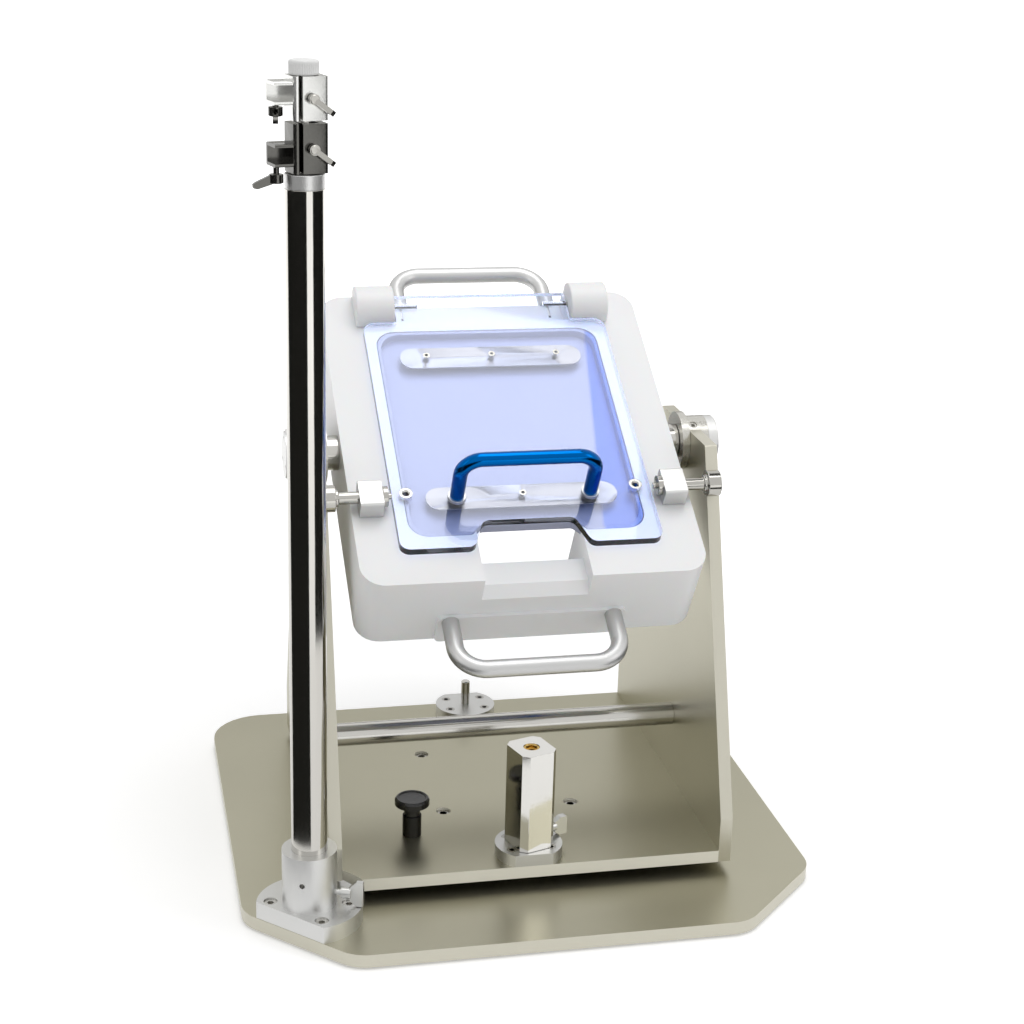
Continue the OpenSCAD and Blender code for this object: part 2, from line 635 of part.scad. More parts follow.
module post_block() color("#c9c7c1") on_post() difference() {
  linear_extrude(post_h) polygon([[-post_w / 2 + post_cut, -post_d / 2],
    [post_w / 2 - post_cut, -post_d / 2], [post_w / 2, -post_d / 2 + post_cut],
    [post_w / 2, post_d / 2 - post_cut], [post_w / 2 - post_cut, post_d / 2],
    [-post_w / 2 + post_cut, post_d / 2], [-post_w / 2, post_d / 2 - post_cut],
    [-post_w / 2, -post_d / 2 + post_cut]]);
  translate([0, 0, -1]) cylinder(r = spigot_r + run_gap, h = post_socket + 1);
  translate([0, 0, post_h - insert_h]) cylinder(r = insert_r + run_gap, h = insert_h + 1);
  translate([0, 0, post_screw_h]) x_rod(3 + run_gap, 0, post_w);
}
module post_insert() color("#c79a35") on_post() translate([0, 0, post_h - insert_h]) difference() {
  cylinder(r = insert_r, h = insert_h - 0.8);
  translate([0, 0, -1]) cylinder(r = 4, h = insert_h + 2);
  translate([0, 0, insert_h - 4]) cylinder(r = 6.2, h = 5, $fn = 6);
}
module post_wing_screw() color("#c2c2bf") on_post() translate([post_w / 2 + 5, 0, post_screw_h])
  rotate([0, 90, 0]) wing_screw(3, post_w / 2 + 5 - spigot_r - 0.4, 5, 6, post_wing, 14, 7);

// Trunnions: housings and caps stay with the yoke, shafts turn with the tank
module on_pivot() translate([0, swivel_y, pivot_z]) children();
module set_screw_place() translate([(side_in + yoke_w / 2) / 2, 0, 0]) rotate([35, 0, 0]) children();
module trunnion_housings() color("#bbb8a6") on_pivot() both_sides() difference() {
  union() {
    x_rod(housing_disc_r, housing_in, housing_in + housing_disc_t);
    x_rod(housing_r, housing_in + 1, housing_out);
  }
  x_rod(journal_r + run_gap, housing_in - 1, housing_out + 1);
  set_screw_place() cylinder(r = 4, h = housing_r + 5);
}
module trunnion_set_screws() color("#8b8a84") on_pivot() both_sides() set_screw_place()
  difference() {
    translate([0, 0, journal_r + 0.5]) cylinder(r = 4, h = housing_r - journal_r - 2);
    translate([0, 0, housing_r - 4.5]) cylinder(r = 2.2, h = 6, $fn = 6);
  }
module trunnion_shafts() color("#cfcec9") on_pivot() both_sides() {
  x_rod(shoulder_r, tank_w / 2, housing_in - 0.4);
  x_rod(journal_r, tank_w / 2 - journal_in, housing_out - 0.6);
}
module trunnion_end_caps() color("#d2d1cb") on_pivot() both_sides() difference() {
  union() {
    x_rod(housing_r, housing_out, housing_out + end_cap_t - 2);
    x_rod(housing_r - 2, housing_out, housing_out + end_cap_t);
  }
  for (a = [0, 120, 240]) rotate([a, 0, 0]) translate([0, 0, 17])
    x_rod(2.5, housing_out + end_cap_t - 3, housing_out + end_cap_t + 1);
}

module tank_frame() color("#e9e9e7") on_tank() difference() {
  union() {
    translate([0, tank_l / 2, -tank_t]) linear_extrude(tank_t) polygon(rect(tank_w, tank_l, tank_r));
    translate([0, 0, -(tank_t + pad_top) / 2]) rotate([90, 0, 0]) translate([0, 0, -2])
      linear_extrude(pad_t + 2) polygon(rect(pad_w, tank_t - pad_top, 6));
  }
  translate([0, (window_front + window_back) / 2, -tank_t - 1]) linear_extrude(tank_t + 2)
    polygon(rect(window_w, window_back - window_front, 16));
  translate([-trough_w / 2, front_wall, -tank_t - 1])
    cube([trough_w, window_front - front_wall + 1, tank_t + 2]);
  translate([0, 0, -tray_t - 0.5]) linear_extrude(tray_t + 2) polygon(tray_outline(tray_gap));
  translate([-trough_w / 2, 0, 0]) rotate([90, 0, 90]) linear_extrude(trough_w)
    polygon([[-6, 2], [front_wall + 12, 2], [front_wall + 12, -trough_d], [trough_lip, -trough_d],
      [-6, -trough_d - trough_lip - 6]]);
  translate([-hinge_block_x + 0.5, lid_back + 3, -relief_d])
    cube([2 * hinge_block_x - 1, tank_l, relief_d + 1]);
  both_sides() translate([0, pivot_s, -pivot_drop])
    x_rod(journal_r + run_gap, tank_w / 2 - journal_in - 0.5, tank_w / 2 + 1);
  for (x = [-1, 1]) {
    translate([x * grip_w / 2, 0, -front_grip_drop]) rotate([90, 0, 0])
      translate([0, 0, -19]) cylinder(r = 3.2, h = 20 + pad_t);
    translate([x * grip_w / 2, tank_l, -rear_grip_drop]) rotate([90, 0, 0])
      translate([0, 0, -1]) cylinder(r = 3.2, h = 20);
  }
}
module gel_tray() color("#1677d6") on_tank() difference() {
  translate([0, 0, -tray_t - 0.5]) linear_extrude(tray_t) polygon(tray_outline(0));
  translate([0, 0, -tray_t + 2]) linear_extrude(tray_t) polygon(tray_outline(-tray_wall));
}

// The right-hand hinge block
module hinge_block() on_tank() difference() {
  translate([hinge_block_x, hinge_s, 0]) rotate([90, 0, 90]) linear_extrude(hinge_block_w)
    intersection() {
      union() {
        translate([0, hinge_w]) circle(r = hinge_r);
        translate([-hinge_r, 0]) square([2 * hinge_r, hinge_w]);
      }
      translate([-hinge_r, 0]) square([2 * hinge_r - (hinge_s + hinge_r > tank_l ? 1 : 0), 99]);
    }
  translate([0, hinge_s, hinge_w]) x_rod(hinge_pin_r + run_gap, hinge_block_x - 1, hinge_block_x + 28);
}
module hinge_block_right() color("#efefed") hinge_block();
module hinge_block_left() color("#efefed") mirror([1, 0, 0]) hinge_block();
module hinge_pins() color("#c9c8c4") on_tank() both_sides()
  translate([0, hinge_s, hinge_w]) x_rod(hinge_pin_r, tongue_w / 2 - 24, hinge_block_x + 26);

module lid_plate() color("#b9c2ef", 0.5) on_tank() difference() {
  translate([0, 0, lid_z]) linear_extrude(lid_t) polygon(lid_outline());
  both_sides() translate([0, hinge_s, hinge_w])
    x_rod(hinge_pin_r + 2 * run_gap, tongue_w / 2 - 25, tongue_w);
  strip_screw_places() countersunk_hole(3.5, 2, lid_t);
  for (x = [-1, 1]) {
    translate([x * insert_x, insert_s, lid_z - 1]) cylinder(r = 6.5 + run_gap, h = lid_t + 2);
    translate([x * lid_grip_w / 2, lid_grip_s, lid_z - 1]) cylinder(r = 3 + screw_gap, h = lid_t + 2);
  }
}
module strip_screw_places() {
  for (x = strip_screw_x) translate([x, rear_strip_s, lid_z + lid_t]) children();
  translate([0, front_strip_s, lid_z + lid_t]) children();
}
module lid_strip(s) on_tank() difference() {
  translate([0, s, lid_z - strip_t]) linear_extrude(strip_t)
    polygon(rect(strip_w, strip_d, strip_d / 2 - 0.1));
  strip_screw_places() translate([0, 0, -20]) cylinder(r = 2 + screw_gap, h = 20);
  for (x = [-1, 1]) translate([x * lid_grip_w / 2, lid_grip_s, -9])
    cylinder(r = 3 + screw_gap, h = 20);
}
module lid_rear_strip() color("#dddbd6") lid_strip(rear_strip_s);
module lid_front_strip() color("#dddbd6") lid_strip(front_strip_s);
module lid_strip_screws() color("#77756f") on_tank() strip_screw_places()
  countersunk(3.5, 2, lid_t + strip_t);
module lid_handle() color("#0b4c9c") on_tank()
  translate([0, lid_grip_s, lid_z + lid_t + ferrule_h])
    bow(lid_grip_w, lid_grip_h - ferrule_h, lid_grip_r, 20);
module lid_handle_ferrules() color("#b5b4b0") on_tank() for (x = [-1, 1])
  translate([x * lid_grip_w / 2, lid_grip_s, 0]) {
    translate([0, 0, lid_z + lid_t]) cylinder(r = ferrule_r, h = ferrule_h);
    translate([0, 0, lid_z - strip_t]) cylinder(r = 3, h = lid_t + strip_t);
  }
module lid_pin_inserts() color("#c4c3bf") on_tank() for (x = [-1, 1])
  translate([x * insert_x, insert_s, lid_z]) difference() {
    cylinder(r = 6.5, h = lid_t);
    translate([0, 0, -1]) cylinder(r = 2.5, h = lid_t + 2);
    translate([0, 0, lid_t - 1.5]) cylinder(r1 = 2.5, r2 = 4.1, h = 1.6);
  }

// Latches: a block on each side, a bush in its inner face and a sliding pin
module on_latch() translate([0, latch_s, latch_h]) children();
module latch_blocks() color("#d5d4cf") on_tank() both_sides() on_latch() difference() {
  translate([latch_block_x, 0, -latch_h]) rotate([90, 0, 90]) linear_extrude(latch_block_w)
    translate([0, latch_block_h / 2]) polygon(rect(latch_block_d, latch_block_h, 3));
  x_rod(latch_rod_r + run_gap, latch_block_x + 2.5, latch_block_x + latch_block_w + 1);
  x_rod(latch_tip_r + run_gap, latch_block_x - 1, latch_block_x + 3);
}
module latch_bushes() color("#c9c8c4") on_tank() both_sides() on_latch() difference() {
  x_rod(latch_bush_r, latch_block_x - latch_bush_t, latch_block_x);
  x_rod(latch_tip_r + run_gap, latch_block_x - latch_bush_t - 1, latch_block_x + 1);
}
// The right-hand latch pin
module latch_pin() on_tank() on_latch() {
  x_rod(latch_tip_r, latch_tip_x, latch_shoulder_x + 1);
  x_rod(latch_rod_r, latch_shoulder_x, latch_neck_x);
  x_rod(latch_rod_r + 2.5, latch_neck_x - 0.5, latch_neck_x + 3);
  x_rod(latch_knob_r, latch_neck_x + 2.5, latch_neck_x + 2.5 + latch_knob_t);
}
module latch_pin_right() color("#c9c8c4") latch_pin();
module latch_pin_left() color("#c9c8c4") mirror([1, 0, 0]) latch_pin();

module front_handle() color("#c7c7c5") on_tank() translate([0, -pad_t, -front_grip_drop])
  rotate([90, 0, 0]) grip();
module rear_handle() color("#c7c7c5") on_tank() translate([0, tank_l, -rear_grip_drop])
  rotate([-90, 0, 0]) grip();
// A bow handle with a threaded stud in each leg
module grip() {
  bow(grip_w, grip_reach, grip_r, grip_bend);
  for (x = [-1, 1]) translate([x * grip_w / 2, 0, -16]) cylinder(r = 3, h = 17);
}

base_plate();
rubber_feet();
turntable_base();
turntable_base_screws();
turntable_top();
yoke_floor_plate();
yoke_floor_screws();
yoke_side_plate_left();
yoke_side_plate_right();
yoke_side_screws();
cross_rod();
cross_rod_screws();
index_plunger_sleeve();
index_plunger_knob();
index_plunger_pin();
front_foot();
rear_foot();
foot_screws();
front_spigot();
rear_spigot();
column_flange();
column_flange_screws();
column_tube();
column_cap();
column_thumb_screw();
top_rod();
top_knob();
lower_clamp_body();
lower_clamp_rod_screw();
lower_clamp_jaw_screw();
upper_clamp_body();
upper_clamp_rod_screw();
upper_clamp_jaw_screw();
post_block();
post_insert();
post_wing_screw();
trunnion_housings();
trunnion_set_screws();
trunnion_shafts();
trunnion_end_caps();
tank_frame();
gel_tray();
hinge_block_left();
hinge_block_right();
hinge_pins();
lid_plate();
lid_rear_strip();
lid_front_strip();
lid_strip_screws();
lid_handle();
lid_handle_ferrules();
lid_pin_inserts();
latch_blocks();
latch_bushes();
latch_pin_left();
latch_pin_right();
front_handle();
rear_handle();
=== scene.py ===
import json
import math

import bmesh
import bpy
import numpy as np
from mathutils import Matrix, Vector

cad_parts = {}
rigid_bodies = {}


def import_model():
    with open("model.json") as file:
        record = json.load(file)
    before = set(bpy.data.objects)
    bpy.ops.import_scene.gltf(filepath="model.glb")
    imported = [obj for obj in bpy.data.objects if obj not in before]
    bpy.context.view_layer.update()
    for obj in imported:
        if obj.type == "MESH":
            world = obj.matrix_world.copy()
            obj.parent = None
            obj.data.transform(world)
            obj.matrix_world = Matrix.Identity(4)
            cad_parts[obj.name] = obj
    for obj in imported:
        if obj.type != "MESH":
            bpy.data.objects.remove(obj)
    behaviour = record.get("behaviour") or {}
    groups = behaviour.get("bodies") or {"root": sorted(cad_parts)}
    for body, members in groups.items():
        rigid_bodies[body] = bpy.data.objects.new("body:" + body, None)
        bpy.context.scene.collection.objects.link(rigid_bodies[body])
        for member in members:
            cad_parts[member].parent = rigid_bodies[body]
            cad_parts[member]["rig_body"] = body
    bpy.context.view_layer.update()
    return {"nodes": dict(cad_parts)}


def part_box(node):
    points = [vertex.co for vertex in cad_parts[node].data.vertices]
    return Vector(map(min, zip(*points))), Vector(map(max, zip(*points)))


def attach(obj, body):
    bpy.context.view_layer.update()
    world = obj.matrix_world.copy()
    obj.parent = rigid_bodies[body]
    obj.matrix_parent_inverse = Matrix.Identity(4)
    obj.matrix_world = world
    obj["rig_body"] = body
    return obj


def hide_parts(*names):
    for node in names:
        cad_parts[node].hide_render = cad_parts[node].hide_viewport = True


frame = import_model()

# ---- Camera -------------------------------------------------------------------------
# A long lens a little to the left of the middle, looking down at the tank, so that the
# column stays upright and the lid is seen almost square on.
view_dir, up_dir = Vector((0.2066, 0.9246, -0.3200)), Vector((0.0424, 0.3183, 0.9471))
right_dir = view_dir.cross(up_dir).normalized()
up_dir = right_dir.cross(view_dir).normalized()
camera = bpy.data.objects.new("camera", bpy.data.cameras.new("camera"))
bpy.context.scene.collection.objects.link(camera)
camera.matrix_world = Matrix.Translation((-0.4039, -1.8335, 0.9800)) @ Matrix(
    (right_dir, up_dir, -view_dir)).transposed().to_4x4()
camera.data.sensor_width = 36
camera.data.lens = 69.0
camera.data.clip_start, camera.data.clip_end = 0.05, 80
bpy.context.scene.camera = camera
bpy.context.scene.view_settings.view_transform = "Standard"

# ---- White room ---------------------------------------------------------------------
# The walls are plain white to the eye, to metal and through the lid, and give a softer
# fill light to everything else.
def seen_directly(nodes, links):
    """1 for camera, glossy and transmission rays, 0 for the rest: the largest of the three."""
    path = nodes.new("ShaderNodeLightPath")
    largest = path.outputs["Is Camera Ray"]
    for ray in ("Is Glossy Ray", "Is Transmission Ray"):
        pick = nodes.new("ShaderNodeMath")
        pick.operation = "MAXIMUM"
        links.new(largest, pick.inputs[0])
        links.new(path.outputs[ray], pick.inputs[1])
        largest = pick.outputs[0]
    return largest


room = bpy.data.worlds.new("white_room")
bpy.context.scene.world = room
room.use_nodes = True
room_nodes, room_links = room.node_tree.nodes, room.node_tree.links
room_level = room_nodes.new("ShaderNodeMapRange")
room_level.inputs["To Min"].default_value = 0.58
room_level.inputs["To Max"].default_value = 1.0
room_links.new(seen_directly(room_nodes, room_links), room_level.inputs["Value"])
room_links.new(room_level.outputs[0], room_nodes["Background"].inputs["Strength"])
room_nodes["Background"].inputs["Color"].default_value = (1, 1, 1, 1)


# ---- Lamps --------------------------------------------------------------------------
# One wide soft box hangs overhead and two narrow ones stand at the sides, which draw the
# bright lines down the polished column and the post.
def soft_box(name, place, aim, width, height, radiance):
    """A rectangular lamp; its power is radiance times its area times pi, in watts."""
    lamp = bpy.data.lights.new(name, "AREA")
    lamp.shape, lamp.size, lamp.size_y = "RECTANGLE", width, height
    lamp.energy = radiance * width * height * math.pi
    o = bpy.data.objects.new(name, lamp)
    bpy.context.scene.collection.objects.link(o)
    o.location = place
    o.rotation_mode = "QUATERNION"
    o.rotation_quaternion = (Vector(aim) - Vector(place)).to_track_quat("-Z", "Y")


soft_box("overhead_box", (0.35, -0.1, 2.7), (0.0, 0.0, 0.4), 1.7, 1.5, 2.6)
soft_box("right_box", (2.2, -1.6, 1.5), (0, 0, 0.4), 1.0, 1.4, 1.5)
soft_box("left_box", (-2.4, -1.0, 1.6), (0, 0, 0.4), 0.5, 1.6, 1.6)


# ---- Cards --------------------------------------------------------------------------
# Matt cards that only mirror-like surfaces see. Two dark fans on the floor round the column
# give polished metal its dark bands, a grey one stands behind, a dark one hangs by the lamp.
def matt(name, colour):
    """A plain matt material of one colour, for things that aren't part of the object."""
    m = bpy.data.materials.new(name)
    m.use_nodes = True
    m.node_tree.nodes["Principled BSDF"].inputs["Base Color"].default_value = (*colour, 1)
    m.node_tree.nodes["Principled BSDF"].inputs["Roughness"].default_value = 1
    m.node_tree.nodes["Principled BSDF"].inputs["Specular IOR Level"].default_value = 0
    return m


def mirror_card(name, corners, colour):
    """One flat polygon through the given corners, seen in reflections only."""
    mesh = bpy.data.meshes.new(name)
    mesh.from_pydata([tuple(float(c) for c in v) for v in corners], [], [tuple(range(len(corners)))])
    mesh.materials.append(matt(name, colour))
    o = bpy.data.objects.new(name, mesh)
    bpy.context.scene.collection.objects.link(o)
    o.visible_camera = o.visible_diffuse = o.visible_shadow = o.visible_transmission = False


column_low, column_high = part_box("column_tube")
column_axis = [(column_low[i] + column_high[i]) / 2 for i in range(2)]


card_lift = 0.0002
fan_far = 12.0
fan_points = 30


def floor_fan(name, start, end, near, colour):
    """A sector of a ring on the floor round the column: from start to end degrees, turned from
    straight in front towards the right, out from the near distance."""
    turns = np.radians(np.linspace(start, end, fan_points))
    mirror_card(name, [(column_axis[0] + r * math.sin(a), column_axis[1] - r * math.cos(a), card_lift)
                       for r, arc in ((near, turns), (fan_far, turns[::-1])) for a in arc], colour)


floor_fan("left_floor_card", -122, 4, 0.20, (0.022, 0.022, 0.020))
floor_fan("right_floor_card", 40, 122, 0.75, (0.020, 0.020, 0.018))
mirror_card("rear_card", [(-1.6, 4.0, 0.05), (3.4, 3.4, 0.05), (3.4, 3.4, 1.3), (-1.6, 4.0, 1.5)],
            (0.42, 0.41, 0.36))
flag_z = 2.6
flag_corners = ((0.64, -0.40), (1.30, -0.40), (1.30, 0.95), (0.80, 0.70))
mirror_card("overhead_flag", [(x, y, flag_z) for x, y in flag_corners], (0.02, 0.02, 0.02))

# ---- Floor --------------------------------------------------------------------------
# A sheet of white paper. It keeps the object's soft shadow, and glows a little to the eye
# and to metal, more with distance, so that it meets the white wall with no horizon.
floor_half = 14.0
floor_drop = 0.0005
floor_mesh = bpy.data.meshes.new("floor")
floor_mesh.from_pydata([(x * floor_half, y * floor_half, -floor_drop)
                        for x, y in ((-1, -1), (1, -1), (1, 1), (-1, 1))], [], [(0, 1, 2, 3)])
floor = bpy.data.objects.new("floor", floor_mesh)
bpy.context.scene.collection.objects.link(floor)
paper = matt("floor_paper", (0.93, 0.93, 0.93))
paper_nodes, paper_links = paper.node_tree.nodes, paper.node_tree.links
paper_where = paper_nodes.new("ShaderNodeTexCoord")
paper_reach = paper_nodes.new("ShaderNodeVectorMath")
paper_reach.operation = "LENGTH"
paper_links.new(paper_where.outputs["Object"], paper_reach.inputs[0])
paper_glow = paper_nodes.new("ShaderNodeMapRange")
paper_glow.inputs["From Min"].default_value = 0.5
paper_glow.inputs["From Max"].default_value = 2.4
paper_glow.inputs["To Min"].default_value = 0.30
paper_glow.inputs["To Max"].default_value = 1.0
paper_links.new(paper_reach.outputs["Value"], paper_glow.inputs["Value"])
paper_seen = paper_nodes.new("ShaderNodeMath")
paper_seen.operation = "MULTIPLY"
paper_links.new(paper_glow.outputs[0], paper_seen.inputs[0])
paper_links.new(seen_directly(paper_nodes, paper_links), paper_seen.inputs[1])
paper_nodes["Principled BSDF"].inputs["Emission Color"].default_value = (1, 1, 1, 1)
paper_links.new(paper_seen.outputs[0], paper_nodes["Principled BSDF"].inputs["Emission Strength"])
floor_mesh.materials.append(paper)


# ---- Base plate ---------------------------------------------------------------------
# The lowest plate, which everything stands on: rolled aluminium, sawn with cut corners,
# bead blasted and anodised a pale champagne. Its edges are lightly broken by hand.
def finish_of(name, colour, metallic, rough, grain=0.0, grain_size=400.0, along=(1, 1, 1),
              drift=0.04, spread=0.05, **sockets):
    """A surface finish. The colour drifts between two shades by a slow noise; roughness and a
    bump follow a fine noise, stretched along one direction where the metal was brushed."""
    m = bpy.data.materials.new(name)
    m.use_nodes = True
    n, l = m.node_tree.nodes, m.node_tree.links
    skin = n["Principled BSDF"]
    skin.inputs["Metallic"].default_value = metallic
    for key, value in sockets.items():
        skin.inputs[key.replace("_", " ")].default_value = value
    where = n.new("ShaderNodeTexCoord")
    slow = n.new("ShaderNodeTexNoise")
    slow.inputs["Scale"].default_value = 9.0
    slow.inputs["Detail"].default_value = 3.0
    l.new(where.outputs["Object"], slow.inputs["Vector"])
    shade = n.new("ShaderNodeMix")
    shade.data_type = "RGBA"
    shade.inputs[6].default_value = (*[c * (1 - drift) for c in colour], 1)
    shade.inputs[7].default_value = (*[min(1, c * (1 + drift)) for c in colour], 1)
    l.new(slow.outputs["Fac"], shade.inputs[0])
    l.new(shade.outputs[2], skin.inputs["Base Color"])
    stretch = n.new("ShaderNodeMapping")
    stretch.inputs["Scale"].default_value = along
    l.new(where.outputs["Object"], stretch.inputs["Vector"])
    fine = n.new("ShaderNodeTexNoise")
    fine.inputs["Scale"].default_value = grain_size
    fine.inputs["Detail"].default_value = 2.0
    l.new(stretch.outputs[0], fine.inputs["Vector"])
    polish = n.new("ShaderNodeMapRange")
    polish.inputs["To Min"].default_value = max(0.01, rough - spread)
    polish.inputs["To Max"].default_value = rough + spread
    l.new(fine.outputs["Fac"], polish.inputs["Value"])
    l.new(polish.outputs[0], skin.inputs["Roughness"])
    if grain:
        bump = n.new("ShaderNodeBump")
        bump.inputs["Strength"].default_value = grain
        bump.inputs["Distance"].default_value = 0.0004
        l.new(fine.outputs["Fac"], bump.inputs["Height"])
        l.new(bump.outputs[0], skin.inputs["Normal"])
    return m


def stand_in(o, node):
    """The piece takes the node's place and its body."""
    bpy.context.scene.collection.objects.link(o)
    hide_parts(node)
    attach(o, frame["nodes"][node]["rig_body"])


def machined(node, material, edge, steps=2, sharper_than=32):
    """A node's own shape with its edges broken: doubled points are merged, flat triangles
    become one face, and each edge sharper than the angle is rounded by the edge width."""
    bm = bmesh.new()
    bm.from_mesh(frame["nodes"][node].data)
    bmesh.ops.remove_doubles(bm, verts=bm.verts, dist=2e-6)
    bmesh.ops.dissolve_limit(bm, angle_limit=math.radians(0.4), verts=bm.verts, edges=bm.edges)
    mesh = bpy.data.meshes.new(node + "_finished")
    bm.to_mesh(mesh)
    bm.free()
    stale = ("custom_normal", "sharp_face", "sharp_edge")
    for name in [a.name for a in mesh.attributes if a.name in stale]:
        mesh.attributes.remove(mesh.attributes[name])
    mesh.materials.clear()
    mesh.materials.append(material)
    mesh.shade_smooth()
    o = bpy.data.objects.new(node + "_finished", mesh)
    broken = o.modifiers.new("edge_break", "BEVEL")
    broken.width, broken.segments, broken.limit_method = edge, steps, "ANGLE"
    broken.angle_limit = math.radians(sharper_than)
    broken.use_clamp_overlap = True
    broken.harden_normals = True
    stand_in(o, node)


def champagne_plate(name, flat_axis, edge_highlight_colour, edge_highlight_metal):
    """Champagne anodising on a plate's two faces and a painted highlight on its narrow edges, which are
    where the surface turns away from the axis through the plate: there the colour turns paler and less
    metallic."""
    m = finish_of(name, (0.46, 0.44, 0.34), 1.0, 0.34, 0.12, 900)
    n, l = m.node_tree.nodes, m.node_tree.links
    skin = n["Principled BSDF"]
    where = n.new("ShaderNodeTexCoord")
    parts = n.new("ShaderNodeSeparateXYZ")
    l.new(where.outputs["Normal"], parts.inputs[0])
    size = n.new("ShaderNodeMath")
    size.operation = "ABSOLUTE"
    l.new(parts.outputs[flat_axis], size.inputs[0])
    # Mask for the painted highlight: the narrow edges, where the normal turns away from the axis through
    # the plate.
    edge = n.new("ShaderNodeMapRange")
    edge.inputs["From Min"].default_value = 0.75
    edge.inputs["From Max"].default_value = 0.45
    l.new(size.outputs[0], edge.inputs["Value"])
    painted_edge_highlight = n.new("ShaderNodeMix")
    painted_edge_highlight.data_type = "RGBA"
    l.new(edge.outputs[0], painted_edge_highlight.inputs[0])
    l.new(skin.inputs["Base Color"].links[0].from_socket, painted_edge_highlight.inputs[6])
    painted_edge_highlight.inputs[7].default_value = (*edge_highlight_colour, 1)
    l.new(painted_edge_highlight.outputs[2], skin.inputs["Base Color"])
    metal = n.new("ShaderNodeMapRange")
    metal.inputs["To Min"].default_value = 1.0
    metal.inputs["To Max"].default_value = edge_highlight_metal
    l.new(edge.outputs[0], metal.inputs["Value"])
    l.new(metal.outputs[0], skin.inputs["Metallic"])
    return m


# The base plate's narrow edges get a mild painted highlight: a paler, less metallic champagne.
machined("base_plate", champagne_plate("champagne_base", "Z", (0.60, 0.58, 0.49), 0.7), 0.0010)

# ---- Rubber feet --------------------------------------------------------------------
# Soft black discs pressed into pockets in the plate's underside, so that it stands firm
# and doesn't scratch a bench.
rubber = finish_of("black_rubber", (0.02, 0.02, 0.02), 0.0, 0.75, 0.3, 700)
machined("rubber_feet", rubber, 0.0006)

# ---- Turntable ----------------------------------------------------------------------
# Two turned aluminium discs between the base plate and the yoke. The lower one is screwed
# down, carries the bearing stub, and holds the ring of index holes.
satin = finish_of("satin_aluminium", (0.60, 0.60, 0.59), 1.0, 0.34, 0.10, 1200)
zinc = finish_of("zinc_screw", (0.50, 0.49, 0.46), 1.0, 0.28, 0.08, 900)
machined("turntable_base", satin, 0.0004)
machined("turntable_top", satin, 0.0004)
machined("turntable_base_screws", zinc, 0.0002)

# ---- Yoke ---------------------------------------------------------------------------
# Three champagne plates: a floor and two tall tapering sides, held by countersunk
# screws through the sides. The side plates carry the tank's trunnions at the top.
# The yoke floor's narrow edges get a strong painted highlight: a near white cream that is hardly
# metallic.
painted_bright_edge_plate = champagne_plate("champagne_floor", "Z", (0.95, 0.93, 0.83), 0.1)
machined("yoke_floor_plate", painted_bright_edge_plate, 0.0006)
# The side plates' narrow edges get a mild painted highlight: a paler, less metallic champagne.
standing_plate = champagne_plate("champagne_standing", "X", (0.60, 0.58, 0.49), 0.7)
machined("yoke_side_plate_left", standing_plate, 0.0008)
machined("yoke_side_plate_right", standing_plate, 0.0008)
machined("yoke_floor_screws", zinc, 0.0003)
machined("yoke_side_screws", zinc, 0.0003)

# ---- Cross rod ----------------------------------------------------------------------
# A ground and polished steel bar between the side plates, which keeps them square. One
# screw through each side plate holds it.
ground_steel = finish_of("ground_steel", (0.55, 0.54, 0.51), 1.0, 0.16, 0.04, 700, (0.05, 1, 1))
machined("cross_rod", ground_steel, 0.0004)
machined("cross_rod_screws", zinc, 0.0004)

# ---- Index plunger ------------------------------------------------------------------
# A black steel sleeve pressed into the yoke floor, a hardened pin, and a moulded knob with
# a dished top. Lifting the knob frees the turntable.
black_moulding = finish_of("black_moulding", (0.012, 0.012, 0.012), 0.0, 0.20, 0.03, 200)
black_oxide = finish_of("black_oxide", (0.04, 0.04, 0.04), 1.0, 0.35, 0.08, 700)
machined("index_plunger_sleeve", black_oxide, 0.0003)
machined("index_plunger_pin", ground_steel, 0.0003)
machined("index_plunger_knob", black_moulding, 0.0010, steps=3)

# ---- Front and rear feet ------------------------------------------------------------
# Round aluminium plates sunk half into the yoke floor's edges, each with three screws and
# a turned steel spigot standing in it.
blasted = finish_of("bead_blasted_aluminium", (0.66, 0.66, 0.65), 1.0, 0.38, 0.15, 1500)
for foot in ("front_foot", "rear_foot"):
    machined(foot, blasted, 0.0006)
for spigot in ("front_spigot", "rear_spigot"):
    machined(spigot, ground_steel, 0.0002)
machined("foot_screws", zinc, 0.0002)

# ---- Post ---------------------------------------------------------------------------
# A square bar with cut corners, nickel plated to a mirror, which turns on the front
# spigot. A brass insert is pressed in the top and a wing screw clamps it.
nickel = finish_of("nickel_plate", (0.70, 0.69, 0.66), 1.0, 0.09, 0.03, 300)
brass = finish_of("turned_brass", (0.62, 0.42, 0.12), 1.0, 0.25, 0.10, 900)
cast_wing = finish_of("cast_wing", (0.58, 0.58, 0.56), 1.0, 0.30, 0.25, 500)
machined("post_block", nickel, 0.0012, steps=3)
machined("post_insert", brass, 0.0003)
machined("post_wing_screw", cast_wing, 0.0008)

# ---- Column -------------------------------------------------------------------------
# A turned aluminium flange with a collar, and a drawn stainless tube standing in it,
# polished lengthwise and closed by a cap. A wing screw in the collar clamps it.
drawn_tube = finish_of("drawn_tube", (0.56, 0.545, 0.51), 1.0, 0.10, 0.03, 700, (1, 1, 0.05), spread=0.03)
machined("column_flange", blasted, 0.0008)
machined("column_flange_screws", zinc, 0.0004)
machined("column_tube", drawn_tube, 0.0004)
machined("column_cap", blasted, 0.0006)
machined("column_thumb_screw", cast_wing, 0.0008)

